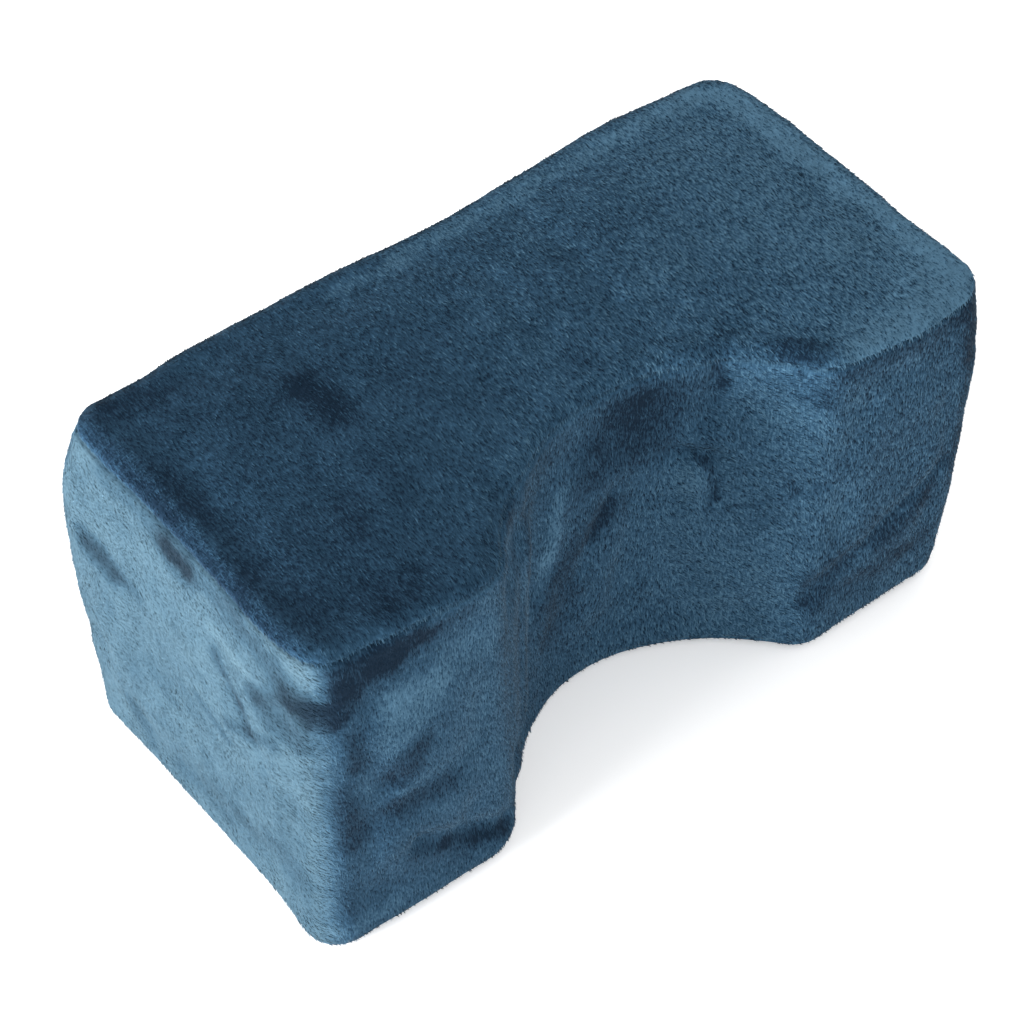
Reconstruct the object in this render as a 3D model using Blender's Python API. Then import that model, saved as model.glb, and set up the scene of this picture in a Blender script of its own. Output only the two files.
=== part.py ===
"""Knee pillow: a foam block with one long side hollowed for the leg, in a loose plush cover.

Run it with blender --background --python part.py, or from Blender's text editor. Metres, +Z up.
The pillow lies on its lower panel, centred on the origin, with its length along X and the hollow facing -Y.
"""

import math

import bpy
import numpy as np

# Driving dimensions, in metres
LENGTH = 0.306
DEPTH = 0.154
HEIGHT = 0.163
CORNER_RADIUS = 0.014  # the four upright edges
BOTTOM_EDGE_RADIUS = 0.007

# The hollow is a round bite out of the front, and its mouth is eased by a fillet on each side
HOLLOW_X = 0.004
HOLLOW_RADIUS = 0.082
HOLLOW_DEPTH = 0.047
LEFT_FILLET = 0.018
RIGHT_FILLET = 0.018

# The cover
SEAM_DEPTH = 0.0011  # how far the seam round each panel is drawn into the edge
TOP_CROWN = 0.0030  # how far the upper panel stands above its own edge

# How far the cover stands out from the block, in mm, at places round the outline. A place is counted along the
# four sides: 0 front left corner, 1 front right, 2 back right, 3 back left. Columns go up the side wall.
SWAY = [
    # place, bottom seam, low, middle, high, top seam, radius of the top edge
    (0.00, 2.0, 2.5, 2.5, 1.5, -3.0, 7.5),
    (0.05, 2.0, 2.5, 3.0, 2.0, -2.5, 8.0),
    (0.12, 2.5, 3.0, 3.0, 2.5, 1.0, 7.0),
    (0.20, 2.5, 3.0, 2.5, 2.5, 2.0, 8.0),
    (0.27, 4.0, 5.5, 3.5, 2.5, 1.0, 9.0),
    (0.34, 4.5, 4.5, 3.5, 4.0, 3.5, 8.0),
    (0.50, 0.0, 0.5, 1.5, 3.5, 3.5, 8.0),
    (0.66, 1.5, 1.0, 1.5, 2.0, 1.5, 8.0),
    (0.74, 0.5, 1.0, 1.0, 1.0, -1.0, 8.0),
    (0.82, -4.0, -1.5, 0.0, 1.5, 1.0, 6.0),
    (0.90, -4.5, -1.5, 0.0, 3.5, 5.0, 5.0),
    (1.00, -5.0, 0.5, 4.5, 5.5, 2.0, 5.0),
    (1.10, -0.5, 1.0, 2.0, 2.0, 1.0, 5.0),
    (1.50, 0.0, 1.0, 2.0, 2.0, 1.0, 6.0),
    (1.85, 0.0, 1.0, 1.0, 1.0, 0.0, 6.0),
    (2.00, -1.0, 1.0, 1.5, 0.5, -3.0, 7.0),
    (2.16, 0.0, 1.0, 2.0, 2.0, 1.0, 7.0),
    (2.34, 0.0, 1.0, 1.0, 0.0, -1.0, 7.0),
    (2.46, 0.0, 1.0, 1.0, 0.0, -3.0, 7.0),
    (2.62, 0.0, 1.0, 1.5, 1.5, 0.0, 7.0),
    (2.80, 0.0, 1.0, 2.0, 2.0, 0.5, 7.0),
    (2.93, 0.0, 1.0, 2.5, 2.0, -1.0, 7.0),
    (3.00, -1.0, 2.0, 6.5, 6.0, -1.5, 6.0),
    (3.10, -1.5, 1.5, 6.0, 4.5, -1.5, 8.0),
    (3.30, -1.5, 0.5, 1.5, 2.5, -2.0, 9.0),
    (3.60, -1.5, 0.5, 1.0, 1.5, -0.5, 8.0),
    (3.85, -0.5, 1.0, 2.0, 1.5, 0.5, 7.0),
]
SWAY_HEIGHTS = (0.0, 0.15, 0.50, 0.85, 1.0)

# The main folds, in mm. Each runs between two points on the cover and lifts it by push, or sinks it if that is
# negative, fading over the width to each side of its line.
FOLDS = [
    # from x, y, z, to x, y, z, push, width
    (-41, -49, 150, -47, -54, 10, 1.6, 5.0),  # ridge down the hollow's left mouth
    (-26, -40, 132, -31, -42, 66, -1.6, 4.5),
    (-14, -36, 132, -22, -37, 70, 1.4, 5.0),
    (14, -33, 106, 1, -31, 72, -1.8, 5.0),  # crease inside the hollow
    (-48, -51, 160, -72, -72, 162, -2.0, 5.0),  # crease over the left shoulder
    (-112, -80, 41, -68, -77, 16, -3.2, 5.0),  # crease at the foot of the left horn
    (138, -80, 74, 80, -75, 34, -1.8, 6.0),  # long crease across the right horn
    (52, -48, 161, 47, -45, 128, -2.2, 5.0),  # short crease under the seam
    (36, -39, 112, 49, -46, 111, -1.3, 5.0),  # hooked crease in the hollow
    (51, -46, 108, 51, -46, 88, -1.3, 5.0),
    (42, -43, 97, 41, -42, 95, 1.2, 7.0),
    (-157, 24, 134, -156, -64, 134, 1.0, 6.0),  # roll along the left end
    (-161, 78, 48, -158, 58, 60, -2.4, 6.0),  # pinch at the back of the left end
    (-160, 62, 121, -157, 36, 110, -1.4, 8.0),
    (-156, -16, 124, -156, -42, 90, -1.2, 8.0),
    (-130, -80, 66, -96, -80, 74, -1.0, 8.0),
    (-150, 76, 157, -154, 78, 146, -2.0, 4.0),  # tuck under the back left corner of the seam
    (151, -78, 158, 154, -79, 146, -2.0, 4.0),  # tuck under the front right corner
]
FOLD_FREE = 0.008  # folds fade out over this height above the lower panel, which stays flat

# How finely the cover is divided
FRONT_STEPS = 50
END_STEPS = 20
WALL_STEPS = 17
EDGE_STEPS = 4  # rows over each rounded edge
SEAM_STEP = 1  # the one of them that lies in the seam, counted from the wall
FINE_STEPS = 400  # points on each side while the outline is worked out
CORNER_WEIGHT = 0.010  # metres: how strongly tight bends draw grid lines together

PLUSH_COLOUR = (0.045, 0.10, 0.15, 1.0)


def arc(centre, radius, start, end):
    """Points and outward normals of an arc that bulges out of the block, from angle start to end in degrees."""
    angles = np.radians(np.linspace(start, end, FINE_STEPS))
    normals = np.stack([np.cos(angles), np.sin(angles)], 1)
    return np.asarray(centre) + radius * normals, normals


def line(start, end, normal):
    share = np.linspace(0.0, 1.0, FINE_STEPS)[:, None]
    points = np.asarray(start) * (1 - share) + np.asarray(end) * share
    return points, np.tile(normal, (FINE_STEPS, 1))


def bite(centre, radius, start, end):
    """An arc that the hollow cuts into the block, so its normals point to the arc's own centre."""
    points, normals = arc(centre, radius, start, end)
    return points, -normals


def corner_half(sign_x, sign_y, start):
    """One half of an upright corner, turning through 45 degrees from angle start."""
    centre = (
        sign_x * (LENGTH / 2 - CORNER_RADIUS),
        sign_y * (DEPTH / 2 - CORNER_RADIUS),
    )
    return arc(centre, CORNER_RADIUS, start, start + 45)


def fillet(radius, side):
    """Centre of a fillet at the hollow's mouth, and the angle at which it meets the hollow. side is -1 or 1."""
    bite_y = -DEPTH / 2 - (HOLLOW_RADIUS - HOLLOW_DEPTH)
    centre_y = -DEPTH / 2 + radius
    rise = centre_y - bite_y
    run = math.sqrt((HOLLOW_RADIUS + radius) ** 2 - rise**2)
    centre = (HOLLOW_X + side * run, centre_y)
    angle = math.degrees(math.atan2(rise, run))
    return centre, angle


def front_side():
    front_y = -DEPTH / 2
    bite_centre = (HOLLOW_X, front_y - (HOLLOW_RADIUS - HOLLOW_DEPTH))
    left_centre, left_angle = fillet(LEFT_FILLET, -1)
    right_centre, right_angle = fillet(RIGHT_FILLET, 1)
    corner_x = LENGTH / 2 - CORNER_RADIUS
    outward = (0.0, -1.0)
    return [
        corner_half(-1, -1, 225),
        line((-corner_x, front_y), (left_centre[0], front_y), outward),
        arc(left_centre, LEFT_FILLET, 270, 360 - left_angle),
        bite(bite_centre, HOLLOW_RADIUS, 180 - left_angle, right_angle),
        arc(right_centre, RIGHT_FILLET, 180 + right_angle, 270),
        line((right_centre[0], front_y), (corner_x, front_y), outward),
        corner_half(1, -1, 270),
    ]


def straight_side(sign_x, sign_y, next_x, next_y, turn):
    """A side that runs from the corner (sign_x, sign_y) to the next one, facing the angle turn in degrees."""
    inset_x, inset_y = LENGTH / 2 - CORNER_RADIUS, DEPTH / 2 - CORNER_RADIUS
    normal = np.array([math.cos(math.radians(turn)), math.sin(math.radians(turn))])
    start = np.array([sign_x * inset_x, sign_y * inset_y]) + CORNER_RADIUS * normal
    end = np.array([next_x * inset_x, next_y * inset_y]) + CORNER_RADIUS * normal
    return [
        corner_half(sign_x, sign_y, turn - 45),
        line(start, end, normal),
        corner_half(next_x, next_y, turn),
    ]


def stations(stretches, steps):
    """steps + 1 points along a side, closer in tight bends, with their normals and shares of its length."""
    points = np.concatenate([p for p, _ in stretches])
    normals = np.concatenate([n for _, n in stretches])
    apart = np.linalg.norm(np.diff(points, axis=0), axis=1)
    turned = np.linalg.norm(np.diff(normals, axis=0), axis=1)
    length = np.concatenate([[0.0], np.cumsum(apart)])
    weight = np.concatenate([[0.0], np.cumsum(apart + CORNER_WEIGHT * turned)])
    weight += np.linspace(0.0, 1e-9, len(weight))  # keeps it rising where two stretches meet
    at = np.interp(np.linspace(0.0, weight[-1], steps + 1), weight, np.arange(len(weight)))
    along = np.arange(len(points))
    chosen = np.stack([np.interp(at, along, points[:, k]) for k in (0, 1)], 1)
    facing = np.stack([np.interp(at, along, normals[:, k]) for k in (0, 1)], 1)
    facing /= np.linalg.norm(facing, axis=1, keepdims=True)
    share = np.interp(at, along, length / length[-1])
    return chosen, facing, share


def outline():
    """The block's outline, once round from the front left corner: points, normals, and places as in SWAY."""
    sides = [
        (front_side(), FRONT_STEPS),
        (straight_side(1, -1, 1, 1, 0), END_STEPS),
        (straight_side(1, 1, -1, 1, 90), FRONT_STEPS),
        (straight_side(-1, 1, -1, -1, 180), END_STEPS),
    ]
    found = [stations(stretches, steps) for stretches, steps in sides]
    points = np.concatenate([p[:-1] for p, _, _ in found])
    normals = np.concatenate([n[:-1] for _, n, _ in found])
    places = np.concatenate([k + s[:-1] for k, (_, _, s) in enumerate(found)])
    return points, normals, places


def eased(x, knots, values, period=None):
    """A smooth curve through values at knots: each stretch is a cubic whose slopes come from its neighbours."""
    knots, values = np.asarray(knots, float), np.asarray(values, float)
    if period:
        knots = np.concatenate([knots[-2:] - period, knots, knots[:2] + period])
        values = np.concatenate([values[-2:], values, values[:2]])
    slopes = np.gradient(values, knots, axis=0)
    k = np.clip(np.searchsorted(knots, x, side="right") - 1, 0, len(knots) - 2)
    width = knots[k + 1] - knots[k]
    t = (x - knots[k]) / width
    if values.ndim > 1:
        t, width = t[:, None], width[:, None]
    return (
        (2 * t**3 - 3 * t**2 + 1) * values[k]
        + (t**3 - 2 * t**2 + t) * width * slopes[k]
        + (3 * t**2 - 2 * t**3) * values[k + 1]
        + (t**3 - t**2) * width * slopes[k + 1]
    )


def edge(radius, share, seam):
    """A point on a rounded edge, share of the way from the wall to the panel: how far in, and past the wall."""
    a = math.radians(90) * share
    pull = SEAM_DEPTH if seam else 0.0
    return radius * (1 - math.cos(a)) + pull, radius * math.sin(a) - pull


def side_wall():
    """The rows of the wall from the lower panel to the upper, each a closed loop of points round the pillow."""
    points, normals, places = outline()
    table = np.array(SWAY)
    columns = eased(places, table[:, 0], table[:, 1:], period=4.0) / 1000.0
    sway, top_radius = columns[:, :-1], columns[:, -1]
    bottom_radius = np.full(len(points), BOTTOM_EDGE_RADIUS)
    rows = []
    for k in range(EDGE_STEPS, 0, -1):
        inset, rise = edge(bottom_radius, k / EDGE_STEPS, k == SEAM_STEP)
        rows.append((inset, bottom_radius - rise))
    for k in range(WALL_STEPS + 1):
        rise = (HEIGHT - top_radius - bottom_radius) * k / WALL_STEPS
        rows.append((np.zeros(len(points)), bottom_radius + rise))
    for k in range(1, EDGE_STEPS + 1):
        inset, rise = edge(top_radius, k / EDGE_STEPS, k == SEAM_STEP)
        rows.append((inset, HEIGHT - top_radius + rise))
    loops = []
    for inset, height in rows:
        out = np.array([eased(h, SWAY_HEIGHTS, s) for h, s in zip(height / HEIGHT, sway)])
        plan = points + normals * (out - inset)[:, None]
        loops.append(np.column_stack([plan, height]))
    return loops


def shares(one, other, axis):
    """How far each step has come along an axis from the first to the last, as the mean of two facing sides."""
    ways = [(side[:, axis] - side[0, axis]) / (side[-1, axis] - side[0, axis]) for side in (one, other)]
    return (ways[0] + ways[1]) / 2


def panel(loop, crown):
    """Points inside a panel's edge loop, as rows from front to back. crown is the height of its middle."""
    n, m = FRONT_STEPS, END_STEPS
    front, right = loop[: n + 1], loop[n : n + m + 1]
    back = loop[n + m : 2 * n + m + 1][::-1]
    left = np.concatenate([loop[2 * n + m :], loop[:1]])[::-1]
    u = shares(front, back, 0)[:, None]
    rows = []
    for j, v in enumerate(shares(left, right, 1)):
        across = (1 - v) * front + v * back + (1 - u) * left[j] + u * right[j]
        corners = (1 - u) * ((1 - v) * front[0] + v * back[0]) + u * ((1 - v) * front[-1] + v * back[-1])
        row = across - corners
        swell = (1 - (2 * u - 1) ** 4) * (1 - (2 * v - 1) ** 4)
        row[:, 2] += crown * swell[:, 0] ** 2
        rows.append(row[1:-1])
    return rows[1:-1]


def panel_index(i, j, first, inner, around):
    """The number of a panel's vertex, i steps from the left and j from the front. Its edge is the wall's loop."""
    n, m = FRONT_STEPS, END_STEPS
    if j == 0:
        return first + i
    if i == n:
        return first + n + j
    if j == m:
        return first + 2 * n + m - i
    if i == 0:
        return first + (around - j) % around
    return inner + (j - 1) * (n - 1) + i - 1


def closed_mesh():
    """Vertices and faces of the whole cover: the wall's loops, and both panels stitched to them."""
    loops = side_wall()
    around = len(loops[0])
    vertices = list(loops)
    faces = []
    for row in range(len(loops) - 1):
        a, b = row * around, (row + 1) * around
        for k in range(around):
            after = (k + 1) % around
            faces.append((a + k, a + after, b + after, b + k))
    inner = len(loops) * around
    n, m = FRONT_STEPS, END_STEPS
    for loop, first, crown, upper in ((loops[0], 0, 0.0, False), (loops[-1], inner - around, TOP_CROWN, True)):
        vertices += panel(loop, crown)
        for j in range(m):
            for i in range(n):
                ends = ((i, j), (i + 1, j), (i + 1, j + 1), (i, j + 1))
                quad = tuple(panel_index(p, q, first, inner, around) for p, q in ends)
                faces.append(quad if upper else quad[::-1])
        inner += (m - 1) * (n - 1)
    return np.concatenate(vertices), faces


def outward_normals(vertices, faces):
    """Outward unit normals at the vertices, each the mean over the faces round it."""
    a, b, c, d = (vertices[faces[:, k]] for k in range(4))
    face_normals = np.cross(c - a, d - b)
    normals = np.zeros_like(vertices)
    for k in range(4):
        np.add.at(normals, faces[:, k], face_normals)
    return normals / np.linalg.norm(normals, axis=1, keepdims=True)


def fold(vertices, faces):
    """Presses the folds into the cover."""
    normals = outward_normals(vertices, np.array(faces))
    free = np.clip(vertices[:, 2] / FOLD_FREE, 0.0, 1.0)
    push = np.zeros(len(vertices))
    for row in FOLDS:
        start, end = np.array(row[0:3]) / 1000.0, np.array(row[3:6]) / 1000.0
        height, width = row[6] / 1000.0, row[7] / 1000.0
        run = end - start
        along = np.clip((vertices - start) @ run / (run @ run), 0.0, 1.0)
        apart = np.linalg.norm(vertices - start - along[:, None] * run, axis=1)
        push += height * np.exp(-((apart / width) ** 2))
    return vertices + normals * (push * free)[:, None]


def centred(vertices):
    """Moved level so that the middle of the pillow's box stands over the origin."""
    middle = (vertices.min(axis=0) + vertices.max(axis=0)) / 2
    return vertices - middle * np.array([1.0, 1.0, 0.0])


def plush():
    material = bpy.data.materials.new("blue_plush")
    material.use_nodes = True
    shader = material.node_tree.nodes["Principled BSDF"]
    shader.inputs["Base Color"].default_value = PLUSH_COLOUR
    shader.inputs["Roughness"].default_value = 0.95
    shader.inputs["Metallic"].default_value = 0.0
    return material


def make_pillow():
    vertices, faces = closed_mesh()
    vertices = centred(fold(vertices, faces))
    mesh = bpy.data.meshes.new("pillow")
    mesh.from_pydata(vertices.tolist(), [], faces)
    mesh.update()
    mesh.shade_smooth()
    mesh.materials.append(plush())
    pillow = bpy.data.objects.new("pillow", mesh)
    bpy.context.scene.collection.objects.link(pillow)
    return pillow


def main():
    for old in list(bpy.data.objects):
        bpy.data.objects.remove(old)
    make_pillow()


if __name__ == "__main__":
    main()
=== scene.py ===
"""Knee pillow: a foam block hollowed on one long side for the leg, in a loose blue plush cover.

Laid out as an add-on and run as a script. Metres, +Z up. The pillow rests on the floor at z = 0. Its length
runs along X, and its hollow faces -Y.
"""

import math

import bpy
import numpy as np
from mathutils import Matrix, Vector, noise


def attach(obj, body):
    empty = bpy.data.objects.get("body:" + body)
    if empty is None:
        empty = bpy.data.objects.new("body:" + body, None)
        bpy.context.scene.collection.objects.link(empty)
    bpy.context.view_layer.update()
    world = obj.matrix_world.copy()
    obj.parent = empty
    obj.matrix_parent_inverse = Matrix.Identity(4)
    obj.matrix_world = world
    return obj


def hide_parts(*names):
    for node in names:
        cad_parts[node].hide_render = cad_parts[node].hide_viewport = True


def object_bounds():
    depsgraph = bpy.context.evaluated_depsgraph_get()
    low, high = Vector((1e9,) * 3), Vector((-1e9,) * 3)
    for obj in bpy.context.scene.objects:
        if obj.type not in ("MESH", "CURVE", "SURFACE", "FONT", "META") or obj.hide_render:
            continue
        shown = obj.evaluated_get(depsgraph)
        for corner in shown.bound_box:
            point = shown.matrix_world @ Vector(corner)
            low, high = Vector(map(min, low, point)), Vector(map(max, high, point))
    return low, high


bl_info = {
    "name": "Knee pillow",
    "version": (1, 0, 0),
    "blender": (4, 5, 0),
    "location": "View3D > Sidebar > Knee pillow",
    "description": "Makes a plush knee pillow with its pile and a plain studio",
    "category": "Add Mesh",
}

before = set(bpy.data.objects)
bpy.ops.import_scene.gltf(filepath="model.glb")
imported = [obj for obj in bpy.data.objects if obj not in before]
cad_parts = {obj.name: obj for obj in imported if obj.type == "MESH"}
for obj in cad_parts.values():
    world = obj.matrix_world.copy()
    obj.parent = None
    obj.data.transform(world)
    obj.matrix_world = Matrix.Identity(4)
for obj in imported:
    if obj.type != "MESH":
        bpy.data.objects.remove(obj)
CAD_LOW, CAD_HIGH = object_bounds()

MM = 0.001

# The block under the cover
CORNER_RADIUS = 0.014
BOTTOM_EDGE_RADIUS = 0.007
HOLLOW_X = 0.004
MOUTH_FILLET = 0.018
TOP_CROWN = 0.0030

# How far the cover stands out from the block, in mm, at places round the outline. A place is counted along
# the four sides: 0 front left corner, 1 front right, 2 back right, 3 back left. Columns go up the side wall.
SWAY = [
    # place, bottom seam, low, middle, high, top seam, radius of the top edge
    (0.00, 2.0, 2.5, 2.5, 1.5, -3.0, 7.5),
    (0.05, 2.0, 2.5, 3.0, 2.0, -2.5, 8.0),
    (0.12, 2.5, 3.0, 3.0, 2.5, 1.0, 7.0),
    (0.20, 2.5, 3.0, 2.5, 2.5, 2.0, 8.0),
    (0.27, 4.0, 5.5, 3.5, 2.5, 1.0, 9.0),
    (0.34, 4.5, 4.5, 3.5, 4.0, 3.5, 8.0),
    (0.50, 0.0, 0.5, 1.5, 3.5, 3.5, 8.0),
    (0.66, 1.5, 1.0, 1.5, 2.0, 1.5, 8.0),
    (0.74, 0.5, 1.0, 1.0, 1.0, -1.0, 8.0),
    (0.82, -4.0, -1.5, 0.0, 1.5, 1.0, 6.0),
    (0.90, -4.5, -1.5, 0.0, 3.5, 5.0, 5.0),
    (1.00, -5.0, 0.5, 4.5, 5.5, 2.0, 5.0),
    (1.10, -0.5, 1.0, 2.0, 2.0, 1.0, 5.0),
    (1.50, 0.0, 1.0, 2.0, 2.0, 1.0, 6.0),
    (1.85, 0.0, 1.0, 1.0, 1.0, 0.0, 6.0),
    (2.00, -1.0, 1.0, 1.5, 0.5, -3.0, 7.0),
    (2.16, 0.0, 1.0, 2.0, 2.0, 1.0, 7.0),
    (2.34, 0.0, 1.0, 1.0, 0.0, -1.0, 7.0),
    (2.46, 0.0, 1.0, 1.0, 0.0, -3.0, 7.0),
    (2.62, 0.0, 1.0, 1.5, 1.5, 0.0, 7.0),
    (2.80, 0.0, 1.0, 2.0, 2.0, 0.5, 7.0),
    (2.93, 0.0, 1.0, 2.5, 2.0, -1.0, 7.0),
    (3.00, -1.0, 2.0, 6.5, 6.0, -1.5, 6.0),
    (3.10, -1.5, 1.5, 6.0, 4.5, -1.5, 8.0),
    (3.30, -1.5, 0.5, 1.5, 2.5, -2.0, 9.0),
    (3.60, -1.5, 0.5, 1.0, 1.5, -0.5, 8.0),
    (3.85, -0.5, 1.0, 2.0, 1.5, 0.5, 7.0),
]
SWAY_HEIGHTS = (0.0, 0.15, 0.50, 0.85, 1.0)

# Folds, in mm. Each runs between two points on the cover and lifts it by push, or sinks it if that is
# negative, fading over the width to each side of its line.
FOLDS = [
    # from x, y, z, to x, y, z, push, width
    (-41, -49, 150, -47, -54, 10, 1.6, 5.0),  # ridge down the hollow's left mouth
    (-26, -40, 132, -31, -42, 66, -1.0, 4.5),
    (-14, -36, 132, -22, -37, 70, 1.4, 5.0),
    (14, -33, 106, 1, -31, 72, -1.8, 5.0),  # crease inside the hollow
    (-48, -51, 160, -72, -72, 162, -2.0, 5.0),  # crease over the left shoulder
    (-112, -80, 41, -68, -77, 16, -3.2, 5.0),  # crease at the foot of the left horn
    (138, -80, 74, 80, -75, 34, -1.8, 6.0),  # long crease across the right horn
    (52, -48, 161, 47, -45, 128, -2.2, 5.0),  # short crease under the seam
    (36, -39, 112, 49, -46, 111, -1.6, 4.5),  # hooked crease in the hollow
    (51, -46, 108, 51, -46, 88, -1.6, 4.5),
    (42, -43, 97, 41, -42, 95, 1.6, 7.0),
    (-157, 24, 134, -156, -64, 134, 1.0, 6.0),  # roll along the left end
    (-161, 78, 48, -158, 58, 60, -2.4, 6.0),  # pinch at the back of the left end
    (-160, 62, 121, -157, 36, 110, -1.4, 8.0),
    (-156, -16, 124, -156, -42, 90, -1.2, 8.0),
    (-130, -80, 66, -96, -80, 74, -1.0, 8.0),
    (-150, 76, 157, -154, 78, 146, -2.0, 4.0),  # tuck under the back left corner of the seam
    (151, -78, 158, 154, -79, 146, -2.0, 4.0),  # tuck under the front right corner
    # fine creases
    (49, -47, 155, 46, -46, 134, -0.9, 1.8),
    (35, -39, 110, 39, -41, 113, -1.3, 1.8),
    (39, -41, 113, 48, -46, 111, -1.4, 1.8),
    (48, -46, 111, 51, -47, 103, -1.4, 1.8),
    (51, -47, 103, 51, -47, 91, -1.3, 1.8),
    (14, -33, 103, 2, -31, 78, -0.9, 2.0),
    (8, -32, 99, -4, -32, 74, -0.6, 1.8),
    (72, -68, 98, 74, -70, 93, -0.8, 1.8),
    (78, -73, 99, 83, -75, 95, -0.8, 1.8),
    (-46, -52, 118, -48, -54, 30, 0.7, 1.8),
    (-38, -47, 120, -42, -50, 60, -0.8, 2.2),
    (-68, -72, 34, -112, -81, 42, -0.8, 2.0),
    (78, -74, 38, 137, -80, 72, -0.7, 2.0),
    (-156, -26, 112, -156, -50, 82, -0.8, 2.0),
    (-157, -8, 106, -157, -20, 96, -0.6, 1.8),
]
FOLD_FREE = 0.008  # the folds fade to nothing over this height above the floor
SEAM_WIDTH = 0.0009
SEAM_LIP = 0.0004
SEAM_HIGHLIGHT = 0.45  # painted highlight along the ridge of each seam: how much lighter it is painted
RIPPLES = ((0.022, 0.0006, 3), (0.008, 0.00025, 4))  # size of the waves, their height, and a seed

# Filling the cover by a cloth simulation
SEWN_REACH = 0.012  # the cloth is held near a seam, less and less up to this distance
FADE_START = 0.002  # its movement fades in between these distances from the seam
FADE_REACH = 0.028
UPPER_FREE = 0.45  # how much of its movement the upper panel keeps
START_INSET = 0.0012
PUFF_FRAMES = 20
PUFF_CAP = 0.0018  # the most that the filled cover may move

# How light the pile looks, by where it is and which way the cloth faces. 0 is its usual look, 1 much lighter.
UPPER_SLOPE, UPPER_LIGHT = 4.6, 0.22  # on level cloth, for each metre along X and everywhere
# Painted light on the left end's walls, which face the key light, where the pile is also brushed towards it
END_PAINTED_LIGHT = 0.85  # on the left end
# Painted shade on the upper panel over the left end's seam, where the key light would light the rounded edge
END_TOP_SLOPE, END_TOP_PAINTED_SHADE = 5.0, -0.7  # over the left end's seam, for each metre along Y and everywhere
# Painted light on walls that face forward, more on the left horn, painted shade on the right end, and painted
# light on the hollow's walls that face the key light
LEFT_HORN_PAINTED_LIGHT, FRONT_PAINTED_LIGHT, RIGHT_END_PAINTED_SHADE, HOLLOW_PAINTED_LIGHT = 0.5, 0.3, -0.8, 0.45
LEFT_HORN_X = -0.05
LEFT_END_X = -0.1
GRAIN, GRAIN_SLOPE, GRAIN_RANGE, PAINTED_SHEEN_GRAIN = 1.4, 3.5, (0.8, 2.0), 0.8  # how coarse the texture looks

# Where the pile is brushed the other way, with painted shade along creases and under seams and painted
# highlights on ridges, corners and rims, in mm: between two points, the width of the mark to each side of
# its line, and how much darker (below 0) or lighter it looks. The first table is for the upper panel alone.
NAP_AND_PAINTED_TOP = [
    # from x, y, z, to x, y, z, width, strength
    (-77, 29, 165, -76, 12, 165, 8, -1.0),
    (-80, 37, 165, -78, 31, 165, 5, -0.5),
    (-99, -24, 165, -102, -35, 164, 7, -0.5),
    (-76, -10, 166, -81, -28, 165, 7, -0.3),
    (-137, 66, 163, -114, 63, 163, 6, -0.55),
    (-144, 27, 163, -142, 13, 163, 8, -0.6),
    (-138, 3, 163, -139, 0, 163, 4, -0.35),
    (-141, -25, 163, -148, -30, 163, 5, -0.4),
    (-138, -44, 163, -130, -58, 163, 8, -0.25),
    (-112, -61, 163, -102, -64, 163, 10, -0.45),
    (-113, -69, 163, -115, -75, 161, 5, -0.35),
    (-142, -71, 161, -100, -77, 158, 3, 0.5),
    (-100, -77, 158, -69, -71, 157, 3, 0.35),
    (-150, -62, 160, -146, -70, 159, 5, 0.4),
    (-148, 61, 162, -154, -48, 155, 4, -0.35),
    (-53, 20, 166, -46, 17, 166, 6, -0.35),
    (61, -37, 163, 56, -43, 162, 4, -0.5),
    (71, -59, 161, 83, -69, 163, 7, -1.3),
    (46, -39, 162, 48, -41, 161, 4, -0.45),
    (87, -75, 161, 135, -79, 161, 9, 0.9),
    (98, -68, 163, 139, -71, 163, 14, 0.45),
    (131, -41, 163, 140, -64, 163, 16, 0.3),
    (11, -15, 164, 11, -22, 163, 5, -0.35),
    (143, 55, 163, 148, -67, 163, 6, 1.1),
    (-42, 66, 163, -13, 62, 164, 4, 0.6),
    (-11, 65, 163, 130, 67, 163, 5, 0.8),
    (130, 67, 163, 140, 64, 163, 5, 0.8),
    (120, 49, 164, 114, -16, 164, 22, 0.2),
    (55, 6, 166, 90, 1, 165, 18, 0.15),
    (30, 21, 166, 48, 20, 166, 14, -0.2),
    (-44, -27, 164, -30, -26, 164, 12, 0.15),
    (-45, -43, 163, -25, -37, 161, 5, 0.35),
]
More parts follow.
